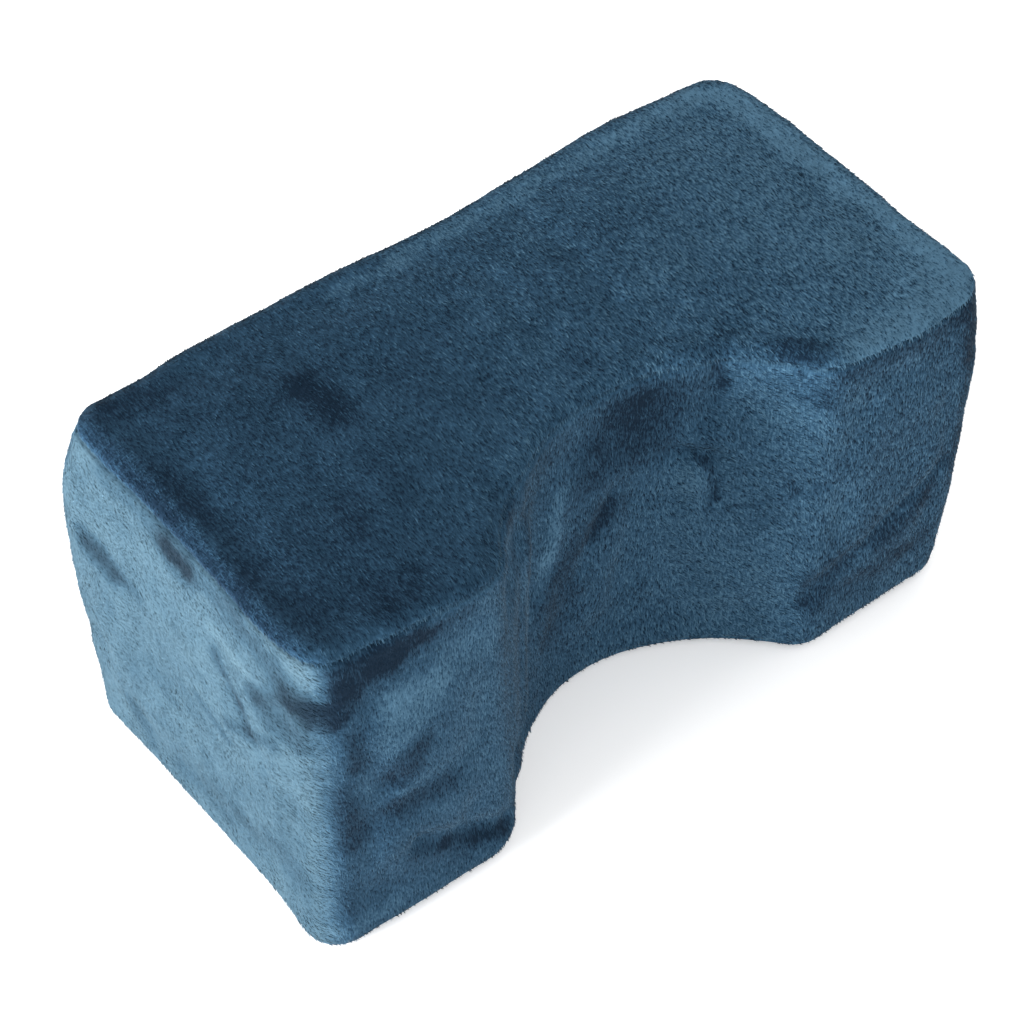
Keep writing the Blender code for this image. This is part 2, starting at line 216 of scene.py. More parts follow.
NAP_AND_PAINTED_WALLS = [
    (28, -37, 145, 27, -36, 120, 12, -1.0),
    (18, -34, 144, 7, -33, 124, 12, -0.9),
    (36, -39, 147, 44, -42, 146, 8, -0.35),
    (14, -31, 97, 4, -30, 83, 4, -0.7),
    (9, -31, 93, -9, -33, 83, 10, -0.8),
    (-11, -33, 73, -10, -33, 43, 8, -0.55),
    (-13, -36, 123, -20, -37, 92, 4, 0.9),
    (-20, -37, 92, -22, -38, 77, 4, 0.6),
    (-46, -53, 118, -38, -45, 67, 3.5, 0.7),
    (-36, -44, 64, -41, -49, 16, 2.5, 1.4),
    (-47, -45, 162, -53, -57, 154, 4, -0.8),
    (-23, -38, 77, -17, -35, 41, 6, -0.4),
    (-28, -41, 156, -16, -37, 147, 6, -0.35),
    (52, -45, 155, 53, -46, 145, 3, -1.2),
    (53, -46, 145, 50, -45, 134, 2.5, -1.0),
    (47, -44, 126, 48, -44, 115, 4, -0.4),
    (73, -68, 151, 79, -75, 144, 6, -0.6),
    (71, -67, 143, 78, -74, 143, 4, -0.5),
    (35, -37, 112, 43, -41, 112, 2, -1.2),
    (43, -41, 112, 48, -44, 107, 2, -1.2),
    (48, -44, 107, 52, -46, 97, 2, -1.2),
    (52, -46, 97, 52, -47, 89, 2, -1.1),
    (52, -47, 89, 49, -45, 82, 2, -0.8),
    (42, -42, 100, 41, -42, 95, 7, 0.55),
    (71, -67, 98, 73, -69, 92, 2.5, -0.9),
    (77, -73, 91, 81, -76, 97, 2.5, -0.7),
    (62, -56, 65, 69, -64, 80, 1.5, -0.5),
    (89, -77, 85, 93, -77, 75, 7, 0.4),
    (69, -64, 139, 77, -74, 121, 15, 0.35),
    (48, -44, 27, 73, -69, 24, 9, 0.2),
    (26, -34, 69, 65, -59, 52, 20, 0.25),
    (84, -77, 157, 136, -81, 156, 5, -0.75),
    (144, -78, 158, 147, -81, 132, 6, -1.6),
    (146, -81, 133, 147, -78, 64, 4, -0.8),
    (139, -79, 74, 132, -78, 59, 4, -1.0),
    (127, -77, 56, 113, -76, 49, 8, -1.1),
    (136, -78, 33, 127, -76, 29, 6, -0.9),
    (92, -75, 46, 82, -74, 28, 8, -0.9),
    (102, -75, 28, 122, -76, 32, 8, -0.75),
    (78, -73, 45, 78, -72, 27, 3, -0.8),
    (100, -79, 134, 128, -81, 128, 14, 0.15),
    (-137, -77, 151, -125, -78, 150, 10, -1.6),
    (-124, -77, 152, -108, -79, 152, 7, -1.6),
    (-105, -79, 151, -89, -79, 152, 5, -0.6),
    (-142, -77, 145, -140, -79, 135, 6, -1.0),
    (-120, -80, 127, -106, -80, 126, 8, 1.0),
    (-123, -80, 110, -112, -80, 115, 9, 0.7),
    (-96, -80, 130, -80, -80, 130, 10, 0.5),
    (-90, -80, 105, -76, -79, 99, 9, 0.3),
    (-137, -80, 120, -137, -80, 103, 5, -1.0),
    (-113, -80, 96, -123, -80, 86, 7, -1.0),
    (-109, -80, 80, -120, -80, 78, 2, 0.7),
    (-120, -80, 78, -130, -80, 82, 2, 0.5),
    (-99, -79, 68, -120, -79, 70, 7, -0.9),
    (-123, -79, 70, -130, -80, 61, 7, -0.45),
    (-144, -79, 89, -141, -80, 62, 7, -1.1),
    (-136, -80, 90, -128, -80, 84, 4, 0.6),
    (-70, -76, 12, -85, -78, 21, 4, -1.4),
    (-85, -78, 21, -100, -79, 29, 3.5, -1.1),
    (-100, -79, 29, -113, -79, 36, 4, -0.5),
    (-113, -80, 30, -91, -79, 17, 7, -0.3),
    (-147, -77, 13, -123, -79, 13, 5, 0.6),
    (-143, -79, 31, -144, -78, 18, 5, -0.5),
    (-159, 58, 114, -156, 43, 111, 6, -1.5),
    (-156, 41, 110, -155, 28, 112, 3, -0.5),
    (-153, 10, 150, -154, -1, 148, 7, -2.0),
    (-150, 49, 158, -154, -30, 153, 8, -0.5),
    (-154, -30, 153, -153, -68, 140, 8, -0.6),
    (-153, -64, 151, -149, -72, 148, 7, 0.5),
    (-155, -62, 136, -150, -74, 134, 8, -1.1),
    (-150, -74, 134, -143, -79, 135, 8, -1.0),
    (-155, -43, 124, -155, -62, 135, 5, -0.7),
    (-155, -50, 121, -155, -66, 118, 8, -0.8),
    (-154, -20, 122, -154, -33, 108, 3.5, -1.1),
    (-154, -33, 108, -154, -40, 95, 3.5, -0.9),
    (-154, -5, 86, -154, -24, 79, 3, -0.7),
    (-154, -26, 90, -155, -54, 106, 3, -0.7),
    (-155, 45, 31, -153, 37, 14, 5, -0.5),
    (-153, 10, 25, -155, -56, 34, 12, -0.3),
    (-155, -17, 134, -155, -48, 129, 3, 0.4),
]

# How finely the cover is divided before it is subdivided once
FRONT_STEPS = 100
END_STEPS = 40
WALL_STEPS = 34
EDGE_SHARES = (0.11, 0.19, 0.25, 0.31, 0.41, 0.60, 0.80, 1.00)  # rows over a rounded edge, from the wall
SEAM_ROW = 2  # the one of them that lies in the seam
EDGE_STEPS = len(EDGE_SHARES)
FINE_STEPS = 400
CORNER_WEIGHT = 0.010  # a bend of one radian gets as many steps as this length
SOFTNESS = 0.80  # how far the locks' shading normals turn to the cloth's own
LOW_SEAM = EDGE_STEPS - 1 - SEAM_ROW  # rows of the side wall, counted from the lower panel
HIGH_SEAM = EDGE_STEPS + WALL_STEPS + 1 + SEAM_ROW

# The parts of the cover, as numbers on its faces
UPPER, LOWER, FRONT, RIGHT, BACK, LEFT = range(6)

# One piece of pile for each of these: name, the parts it covers, locks for each square mm, and how much the
# locks differ from each other
PILE = [
    ("pile_upper", (UPPER,), 1.05, 1.6),
    ("pile_front", (FRONT,), 0.80, 1.4),
    ("pile_ends", (LEFT, RIGHT), 0.90, 1.2),
    ("pile_back", (BACK,), 0.80, 1.4),
    ("pile_lower", (LOWER,), 0.40, 1.4),
]
ROOT_DEPTH = 0.85  # how far the cloth lies under the pile's mean height, as a share of the locks' rise
CLOSEST = 0.62  # least distance between two locks, in widths
FLATNESS = 0.55  # thickness of a lock, in widths

# The plush's colours
STREAK_SIZE = (0.0007, 0.0030)  # across and along the nap
BROAD, PATCHY = 22.0, 95.0  # clouds of lighter and darker pile, for each metre
USUAL, SHADE_WEIGHT, CLOUD_WEIGHT = 0.36, 0.30, 0.25
# TIP_WEIGHT paints each lock lighter at its tip and darker at its root: a painted highlight and painted shade
# within the pile
STREAK_WEIGHT, TONE_WEIGHT, TIP_WEIGHT = 0.95, 0.30, 0.35

# The studio
FLOOR_REACH = 3.0
KEY_SIZE = 0.9
KEY_PLACE = (-1.7, 0.10, 0.25)
KEY_AIM = (0.0, 0.0, 0.08)
CAMERA_LENS = 135.2
CAMERA_PLACE = (-0.600025, -0.759926, 1.15400)
CAMERA_RIGHT = (0.7884, -0.6152, 0.0)
CAMERA_BACK = (-0.41045, -0.52602, 0.74490)


class KneePillowSizes(bpy.types.PropertyGroup):
    length: bpy.props.FloatProperty(
        name="Block length", description="Length of the foam block", default=0.306, unit="LENGTH"
    )
    depth: bpy.props.FloatProperty(
        name="Block depth", description="Depth of the foam block", default=0.154, unit="LENGTH"
    )
    height: bpy.props.FloatProperty(
        name="Block height",
        description="Height of the foam block",
        default=0.163,
        unit="LENGTH",
    )
    hollow_radius: bpy.props.FloatProperty(
        name="Hollow radius",
        description="Radius of the round hollow for the leg",
        default=0.082,
        unit="LENGTH",
    )
    hollow_depth: bpy.props.FloatProperty(
        name="Hollow depth",
        description="How deep the hollow is cut into the block",
        default=0.047,
        unit="LENGTH",
    )
    seam_depth: bpy.props.FloatProperty(
        name="Seam depth",
        description="How far the seam round each panel is drawn in",
        default=0.0011,
        unit="LENGTH",
    )


class KneePillowPile(bpy.types.PropertyGroup):
    colour: bpy.props.FloatVectorProperty(
        name="Pile colour",
        description="Colour of the pile where it lies at its usual angle",
        default=(0.0240, 0.068, 0.120),
        size=3,
        subtype="COLOR",
    )
    deep: bpy.props.FloatVectorProperty(
        name="Deep colour",
        description="Colour of the pile where it is brushed away from the light",
        default=(0.0040, 0.0155, 0.033),
        size=3,
        subtype="COLOR",
    )
    pale: bpy.props.FloatVectorProperty(
        name="Pale colour",
        description="Colour of the pile where it is brushed towards the light",
        default=(0.078, 0.170, 0.255),
        size=3,
        subtype="COLOR",
    )
    # Painted sheen: the grey that the key light's sheen gives the left end, painted into the colour
    painted_sheen: bpy.props.FloatVectorProperty(
        name="Painted sheen",
        description="What the colour is multiplied by where light from the side greys it",
        default=(1.10, 0.86, 0.72),
        size=3,
        subtype="COLOR",
        soft_max=2.0,
    )
    tint: bpy.props.FloatVectorProperty(
        name="Sheen tint",
        description="Colour of the soft light on the pile at a grazing angle",
        default=(0.62, 0.80, 0.88),
        size=3,
        subtype="COLOR",
    )
    length: bpy.props.FloatProperty(
        name="Lock length", description="Length of a lock of pile", default=0.0020, unit="LENGTH"
    )
    width: bpy.props.FloatProperty(
        name="Lock width", description="Width of a lock at its root", default=0.0008, unit="LENGTH"
    )
    rise: bpy.props.FloatProperty(
        name="Rise",
        description="How steeply the locks stand, as rise over run",
        default=0.22,
    )


class KneePillowStudio(bpy.types.PropertyGroup):
    key: bpy.props.FloatProperty(
        name="Key light",
        description="Power of the large light on the left",
        default=95.0,
        unit="POWER",
    )
    sky: bpy.props.FloatProperty(
        name="Sky", description="Strength of the even light all round", default=1.10
    )


def arc(centre, radius, start, end):
    """Points and outward normals of an arc that bulges out of the block. Its angles are in degrees."""
    angles = np.radians(np.linspace(start, end, FINE_STEPS))
    normals = np.stack([np.cos(angles), np.sin(angles)], 1)
    return np.asarray(centre) + radius * normals, normals


def line(start, end, normal):
    share = np.linspace(0.0, 1.0, FINE_STEPS)[:, None]
    points = np.asarray(start) * (1 - share) + np.asarray(end) * share
    return points, np.tile(normal, (FINE_STEPS, 1))


def bite(centre, radius, start, end):
    """An arc that the hollow cuts into the block, so its normals point to the arc's own centre."""
    points, normals = arc(centre, radius, start, end)
    return points, -normals


def corner_half(sizes, sign_x, sign_y, start):
    """One half of an upright corner, turning through 45 degrees from angle start."""
    centre = (
        sign_x * (sizes.length / 2 - CORNER_RADIUS),
        sign_y * (sizes.depth / 2 - CORNER_RADIUS),
    )
    return arc(centre, CORNER_RADIUS, start, start + 45)


def fillet(sizes, side):
    """Centre of a fillet at the hollow's mouth, and the angle where it meets the hollow. side is -1 or 1."""
    bite_y = -sizes.depth / 2 - (sizes.hollow_radius - sizes.hollow_depth)
    centre_y = -sizes.depth / 2 + MOUTH_FILLET
    rise = centre_y - bite_y
    run = math.sqrt((sizes.hollow_radius + MOUTH_FILLET) ** 2 - rise**2)
    centre = (HOLLOW_X + side * run, centre_y)
    return centre, math.degrees(math.atan2(rise, run))


def front_side(sizes):
    front_y = -sizes.depth / 2
    bite_centre = (HOLLOW_X, front_y - (sizes.hollow_radius - sizes.hollow_depth))
    left_centre, left_angle = fillet(sizes, -1)
    right_centre, right_angle = fillet(sizes, 1)
    corner_x = sizes.length / 2 - CORNER_RADIUS
    outward = (0.0, -1.0)
    return [
        corner_half(sizes, -1, -1, 225),
        line((-corner_x, front_y), (left_centre[0], front_y), outward),
        arc(left_centre, MOUTH_FILLET, 270, 360 - left_angle),
        bite(bite_centre, sizes.hollow_radius, 180 - left_angle, right_angle),
        arc(right_centre, MOUTH_FILLET, 180 + right_angle, 270),
        line((right_centre[0], front_y), (corner_x, front_y), outward),
        corner_half(sizes, 1, -1, 270),
    ]


def straight_side(sizes, sign_x, sign_y, next_x, next_y, turn):
    """A side that runs from the corner (sign_x, sign_y) to the next one, facing the angle turn in degrees."""
    inset = np.array([sizes.length / 2 - CORNER_RADIUS, sizes.depth / 2 - CORNER_RADIUS])
    normal = np.array([math.cos(math.radians(turn)), math.sin(math.radians(turn))])
    start = np.array([sign_x, sign_y]) * inset + CORNER_RADIUS * normal
    end = np.array([next_x, next_y]) * inset + CORNER_RADIUS * normal
    return [
        corner_half(sizes, sign_x, sign_y, turn - 45),
        line(start, end, normal),
        corner_half(sizes, next_x, next_y, turn),
    ]


def stations(stretches, steps):
    """steps + 1 points along a side, closer together in bends, with normals and shares of its length."""
    points = np.concatenate([p for p, _ in stretches])
    normals = np.concatenate([n for _, n in stretches])
    apart = np.linalg.norm(np.diff(points, axis=0), axis=1)
    turned = np.linalg.norm(np.diff(normals, axis=0), axis=1)
    length = np.concatenate([[0.0], np.cumsum(apart)])
    weight = np.concatenate([[0.0], np.cumsum(apart + CORNER_WEIGHT * turned)])
    weight += np.linspace(0.0, 1e-9, len(weight))  # keeps it rising where two stretches meet
    at = np.interp(np.linspace(0.0, weight[-1], steps + 1), weight, np.arange(len(weight)))
    along = np.arange(len(points))
    chosen = np.stack([np.interp(at, along, points[:, k]) for k in (0, 1)], 1)
    facing = np.stack([np.interp(at, along, normals[:, k]) for k in (0, 1)], 1)
    facing /= np.linalg.norm(facing, axis=1, keepdims=True)
    return chosen, facing, np.interp(at, along, length / length[-1])


def outline(sizes):
    """The block's outline, once round from the front left corner: points, normals, and places as in SWAY."""
    sides = [
        (front_side(sizes), FRONT_STEPS),
        (straight_side(sizes, 1, -1, 1, 1, 0), END_STEPS),
        (straight_side(sizes, 1, 1, -1, 1, 90), FRONT_STEPS),
        (straight_side(sizes, -1, 1, -1, -1, 180), END_STEPS),
    ]
    found = [stations(stretches, steps) for stretches, steps in sides]
    points = np.concatenate([p[:-1] for p, _, _ in found])
    normals = np.concatenate([n[:-1] for _, n, _ in found])
    places = np.concatenate([k + s[:-1] for k, (_, _, s) in enumerate(found)])
    return points, normals, places


def eased(x, knots, values, period=None):
    """A smooth curve through values at knots. Each stretch is a cubic with slopes from its neighbours."""
    knots, values = np.asarray(knots, float), np.asarray(values, float)
    if period:
        knots = np.concatenate([knots[-2:] - period, knots, knots[:2] + period])
        values = np.concatenate([values[-2:], values, values[:2]])
    slopes = np.gradient(values, knots, axis=0)
    k = np.clip(np.searchsorted(knots, x, side="right") - 1, 0, len(knots) - 2)
    width = knots[k + 1] - knots[k]
    t = (x - knots[k]) / width
    if values.ndim > 1:
        t, width = t[:, None], width[:, None]
    return (
        (2 * t**3 - 3 * t**2 + 1) * values[k]
        + (t**3 - 2 * t**2 + t) * width * slopes[k]
        + (3 * t**2 - 2 * t**3) * values[k + 1]
        + (t**3 - t**2) * width * slopes[k + 1]
    )


def edge(radius, share):
    """A point on a rounded edge, share of the way from wall to panel: how far in, and past the wall."""
    a = math.radians(90) * share
    return radius * (1 - math.cos(a)), radius * math.sin(a)


def side_wall(sizes):
    """The rows of the wall from the lower panel to the upper, each a closed loop round the pillow."""
    points, normals, places = outline(sizes)
    table = np.array(SWAY)
    columns = eased(places, table[:, 0], table[:, 1:], period=4.0) * MM
    sway, top_radius = columns[:, :-1], columns[:, -1]
    bottom_radius = np.full(len(points), BOTTOM_EDGE_RADIUS)
    rows = []
    for share in reversed(EDGE_SHARES):
        inset, rise = edge(bottom_radius, share)
        rows.append((inset, bottom_radius - rise))
    for k in range(WALL_STEPS + 1):
        rise = (sizes.height - top_radius - bottom_radius) * k / WALL_STEPS
        rows.append((np.zeros(len(points)), bottom_radius + rise))
    for share in EDGE_SHARES:
        inset, rise = edge(top_radius, share)
        rows.append((inset, sizes.height - top_radius + rise))
    loops = []
    for inset, height in rows:
        out = np.array([eased(h, SWAY_HEIGHTS, s) for h, s in zip(height / sizes.height, sway)])
        plan = points + normals * (out - inset)[:, None]
        loops.append(np.column_stack([plan, height]))
    return loops


def shares(one, other, axis):
    """How far each step has come along an axis from first to last, as the mean of two facing sides."""
    ways = [(side[:, axis] - side[0, axis]) / (side[-1, axis] - side[0, axis]) for side in (one, other)]
    return (ways[0] + ways[1]) / 2


def panel(loop, crown):
    """Points inside a panel's edge loop, as rows from front to back. crown is the height of its middle."""
    n, m = FRONT_STEPS, END_STEPS
    front, right = loop[: n + 1], loop[n : n + m + 1]
    back = loop[n + m : 2 * n + m + 1][::-1]
    left = np.concatenate([loop[2 * n + m :], loop[:1]])[::-1]
    u = shares(front, back, 0)[:, None]
    rows = []
    for j, v in enumerate(shares(left, right, 1)):
        across = (1 - v) * front + v * back + (1 - u) * left[j] + u * right[j]
        corners = (1 - u) * ((1 - v) * front[0] + v * back[0]) + u * ((1 - v) * front[-1] + v * back[-1])
        row = across - corners
        swell = (1 - (2 * u - 1) ** 4) * (1 - (2 * v - 1) ** 4)
        row[:, 2] += crown * swell[:, 0] ** 2
        rows.append(row[1:-1])
    return rows[1:-1]


def panel_index(i, j, first, inner, around):
    """The number of a panel's vertex, i steps from the left and j from the front. Its rim is the wall's."""
    n, m = FRONT_STEPS, END_STEPS
    if j == 0:
        return first + i
    if i == n:
        return first + n + j
    if j == m:
        return first + 2 * n + m - i
    if i == 0:
        return first + (around - j) % around
    return inner + (j - 1) * (n - 1) + i - 1


def cover_form(sizes):
    """Vertices, faces, each face's part, and each corner's place on the cloth, of the whole cover."""
    loops = side_wall(sizes)
    around = len(loops[0])
    vertices, faces, parts, cloth = list(loops), [], [], []
    ring = np.vstack([loops[EDGE_STEPS + WALL_STEPS // 2], loops[EDGE_STEPS + WALL_STEPS // 2][:1]])
    run = np.concatenate([[0.0], np.cumsum(np.linalg.norm(np.diff(ring[:, :2], axis=0), axis=1))])
    climb = [0.0]
    for low, high in zip(loops, loops[1:]):
        climb.append(climb[-1] + float(np.linalg.norm(high - low, axis=1).mean()))
    n, m = FRONT_STEPS, END_STEPS
    for row in range(len(loops) - 1):
        a, b = row * around, (row + 1) * around
        for k in range(around):
            after = (k + 1) % around
            faces.append((a + k, a + after, b + after, b + k))
            side = FRONT if k < n else RIGHT if k < n + m else BACK if k < 2 * n + m else LEFT
            if row < LOW_SEAM or row >= HIGH_SEAM:
                side = LOWER if row < LOW_SEAM else UPPER
            parts.append(side)
            x0, x1, y0, y1 = run[k], run[k + 1], climb[row], climb[row + 1]
            cloth.append([(x0, y0), (x1, y0), (x1, y1), (x0, y1)])
    inner = len(loops) * around
    lowest, highest = (loops[0], 0, 0.0, LOWER), (loops[-1], inner - around, TOP_CROWN, UPPER)
    for loop, first, crown, part in (lowest, highest):
        rows = panel(loop, crown)
        vertices += rows
        for j in range(m):
            for i in range(n):
                ends = ((i, j), (i + 1, j), (i + 1, j + 1), (i, j + 1))
                quad = [panel_index(p, q, first, inner, around) for p, q in ends]
                faces.append(quad if part == UPPER else quad[::-1])
                parts.append(part)
        inner += (m - 1) * (n - 1)
    points = np.concatenate(vertices)
    for face in faces[len(cloth) :]:
        cloth.append([tuple(points[k, :2]) for k in face])
    climb = np.array(climb)
    over = np.full(len(points), 0.05)
    over[: len(loops) * around] = np.repeat(climb - climb[HIGH_SEAM], around)
    under = np.full(len(points), 0.05)
    under[: len(loops) * around] = np.repeat(climb - climb[LOW_SEAM], around)
    from_seam = np.where(np.abs(over) < np.abs(under), over, -under)
    return points, faces, np.array(parts), np.array(cloth), from_seam


def outward_normals(vertices, faces):
    """Outward unit normals at the vertices, each the mean over the faces round it."""
    a, b, c, d = (vertices[faces[:, k]] for k in range(4))
    face_normals = np.cross(c - a, d - b)
    normals = np.zeros_like(vertices)
    for k in range(4):
        np.add.at(normals, faces[:, k], face_normals)
    return normals / np.linalg.norm(normals, axis=1, keepdims=True)


def from_line(vertices, start, end):
    """How far the vertices are from the line between two points."""
    start, end = np.array(start) * MM, np.array(end) * MM
    run = end - start
    along = np.clip((vertices - start) @ run / (run @ run), 0.0, 1.0)
    return np.linalg.norm(vertices - start - along[:, None] * run, axis=1)


def fold(vertices, normals):
    """Presses the folds into the cover."""
    free = np.clip(vertices[:, 2] / FOLD_FREE, 0.0, 1.0)
    push = np.zeros(len(vertices))
    for row in FOLDS:
        apart = from_line(vertices, row[0:3], row[3:6])
        push += row[6] * MM * np.exp(-((apart / (row[7] * MM)) ** 2))
    return vertices + normals * (push * free)[:, None]


def draw_in_seams(vertices, normals, from_seam, sizes):
    """Draws the cover in along the seam round each panel, with a small swelling over the stitching."""
    groove = sizes.seam_depth * np.exp(-((from_seam / SEAM_WIDTH) ** 2))
    lip = SEAM_LIP * np.exp(-(((from_seam - 2.0 * SEAM_WIDTH) / (1.5 * SEAM_WIDTH)) ** 2))
    return vertices + normals * (lip - groove)[:, None]


def waver(points, scale, seed):
    """Smooth noise from -1 to 1 at the points. scale is the size of its waves, in metres."""
    shift = Vector((seed * 7.3, seed * 3.1, seed * 5.7))
    return np.array([noise.noise(Vector(p) / scale + shift) for p in points])


def nap_and_painted_marks(vertices, above):
    """How much lighter the pile looks at each vertex, as it is brushed and where light and shade are painted.
    above marks the upper panel.
    """
    shade = np.zeros(len(vertices))
    fray = waver(vertices, 0.006, 1) * 0.35 + waver(vertices, 0.0025, 2) * 0.25
    for table, where in ((NAP_AND_PAINTED_TOP, above), (NAP_AND_PAINTED_WALLS, ~above)):
        for row in table:
            apart = from_line(vertices, row[0:3], row[3:6]) / (row[6] * MM)
            shade += row[7] * np.exp(-(np.clip(apart + fray, 0.0, None) ** 3)) * where
    return shade


def nap_way(normals):
    """The way the pile lies at each vertex, along the cloth."""
    down = np.array([0.0, 0.0, -1.0])
    forward = np.array([-0.12, -1.0, 0.0])
    west = np.clip(-normals[:, 0] * 1.5 - 0.3, 0.0, 1.0)[:, None]
    upright = np.clip(1.0 - np.abs(normals[:, 2]) * 1.6, 0.0, 1.0)[:, None]
    way = forward * (1 - upright) + upright * (west * forward + (1 - west) * down)
    way = way - normals * np.sum(way * normals, axis=1, keepdims=True)
    return way / np.linalg.norm(way, axis=1, keepdims=True)


def painted_light_and_nap(points, normals, above, seamwise):
    """How light the pile looks at each vertex, with painted light and shade, how far a painted sheen greys
    it, and how coarse it is.
    """
    # Brushed marks with painted light and shade, and a painted highlight along the ridge of each seam
    shade = nap_and_painted_marks(points, above) + SEAM_HIGHLIGHT * np.exp(-((seamwise / SEAM_WIDTH / 1.5) ** 2))
    level = np.clip(normals[:, 2] * 2.0 - 0.6, 0.0, 1.0)
    west = np.clip(-normals[:, 0] * 1.6 - 0.5, 0.0, 1.0)
    east = np.clip(normals[:, 0] * 1.6 - 0.5, 0.0, 1.0) * ~above
    forward = np.clip(-normals[:, 1] * 1.6 - 0.3, 0.0, 1.0) * ~above
    in_hollow = west * (np.abs(points[:, 0]) < -LEFT_END_X) * ~above
    left_end = west * (points[:, 0] < LEFT_END_X)
    shade += (points[:, 0] * UPPER_SLOPE + UPPER_LIGHT) * level
    # Painted light on the left end's walls, and painted shade on the upper panel over its seam
    shade += left_end * np.where(above, points[:, 1] * END_TOP_SLOPE + END_TOP_PAINTED_SHADE, END_PAINTED_LIGHT)
    # Painted light on forward walls, painted shade on the right end, painted light on hollow walls facing the
    # key light
    shade += forward * np.where(points[:, 0] < LEFT_HORN_X, LEFT_HORN_PAINTED_LIGHT, FRONT_PAINTED_LIGHT)
    shade += east * RIGHT_END_PAINTED_SHADE + in_hollow * HOLLOW_PAINTED_LIGHT
    # Painted sheen on the left end's walls, which face the key light
    painted_sheen = left_end * ~above
    grain = np.clip(GRAIN + GRAIN_SLOPE * points[:, 0], *GRAIN_RANGE) * (1 - PAINTED_SHEEN_GRAIN * painted_sheen)
    return shade, painted_sheen, grain


def new_object(name, mesh):
    made = bpy.data.objects.new(name, mesh)
    bpy.context.scene.collection.objects.link(made)
    return made


def evaluated_copy(source):
    """The mesh of an object with its modifiers applied."""
    graph = bpy.context.evaluated_depsgraph_get()
    return bpy.data.meshes.new_from_object(source.evaluated_get(graph), depsgraph=graph)


def read_points(mesh):
    flat = np.zeros(len(mesh.vertices) * 3)
    mesh.vertices.foreach_get("co", flat)
    return flat.reshape(-1, 3)


def write_points(mesh, points):
    mesh.vertices.foreach_set("co", np.asarray(points, np.float32).ravel())
    mesh.update()


def apart_from_seam(points, sizes):
    """Roughly how far each vertex is from the seam round the upper panel or the lower."""
    inward = np.minimum(sizes.length / 2 - np.abs(points[:, 0]), sizes.depth / 2 - np.abs(points[:, 1]))
    bite_y = -sizes.depth / 2 - (sizes.hollow_radius - sizes.hollow_depth)
    from_hollow = np.hypot(points[:, 0] - HOLLOW_X, points[:, 1] - bite_y) - sizes.hollow_radius
    level = np.maximum(np.minimum(inward, from_hollow), 0.0)
    upright = np.minimum(points[:, 2], sizes.height - points[:, 2])
    return np.hypot(level, np.maximum(upright, 0.0))


def puff(cover, points, normals, held, free):
    """Fills the cover by a short cloth simulation. It starts a little small, and its movement is capped."""
    group = cover.vertex_groups.new(name="sewn")
    for k in np.nonzero(held > 0)[0]:
        group.add([int(k)], float(held[k]), "REPLACE")
    write_points(cover.data, points - normals * START_INSET * (1 - held)[:, None])
    cloth = cover.modifiers.new("puff", "CLOTH")
    settings = cloth.settings
    settings.quality = 4
    settings.mass = 0.2
    settings.tension_stiffness = 12.0
    settings.compression_stiffness = 12.0
    settings.shear_stiffness = 4.0
    settings.bending_stiffness = 0.4
    settings.air_damping = 3.0
    settings.use_pressure = True
    settings.uniform_pressure_force = 4.0
    settings.shrink_min = -0.012
    settings.effector_weights.gravity = 0.0
    settings.vertex_group_mass = "sewn"
    cloth.collision_settings.use_collision = False
    cloth.collision_settings.use_self_collision = False
    scene = bpy.context.scene
    for step in range(1, PUFF_FRAMES + 1):
        scene.frame_set(step)
    mesh = evaluated_copy(cover)
    filled = read_points(mesh)
    bpy.data.meshes.remove(mesh)
    scene.frame_set(1)
    cover.modifiers.remove(cloth)
    cover.vertex_groups.remove(group)
    moved = filled - points
    swell = np.average(np.sum(moved * normals, axis=1), weights=free)
    moved -= normals * swell
    reach = np.linalg.norm(moved, axis=1, keepdims=True)
    return points + moved * np.minimum(1.0, PUFF_CAP / np.maximum(reach, 1e-9)) * free[:, None]


def set_attribute(mesh, name, kind, domain, values):
    layer = mesh.attributes.new(name, kind, domain)
    key = "vector" if kind in ("FLOAT_VECTOR", "FLOAT2") else "value"
    layer.data.foreach_set(key, np.asarray(values).ravel())


def add(tree, kind, at=(0, 0), **values):
    """A new node. Values are set on it as properties."""
    made = tree.nodes.new(kind)
    made.location = at
    for key, value in values.items():
        setattr(made, key, value)
    return made


def feed(tree, socket, value):
    """Links an output to a socket, or sets the socket's own value."""
    if isinstance(value, bpy.types.NodeSocket):
        tree.links.new(value, socket)
    else:
        socket.default_value = value


def maths(tree, operation, *values):
    made = add(tree, "ShaderNodeMath", operation=operation)
    for socket, value in zip(made.inputs, values):
        feed(tree, socket, value)
    return made.outputs[0]


def vectors(tree, operation, *values, scale=None):
    made = add(tree, "ShaderNodeVectorMath", operation=operation)
    for socket, value in zip(made.inputs, values):
        feed(tree, socket, value)
    if scale is not None:
        feed(tree, made.inputs["Scale"], scale)
    return made.outputs[0]


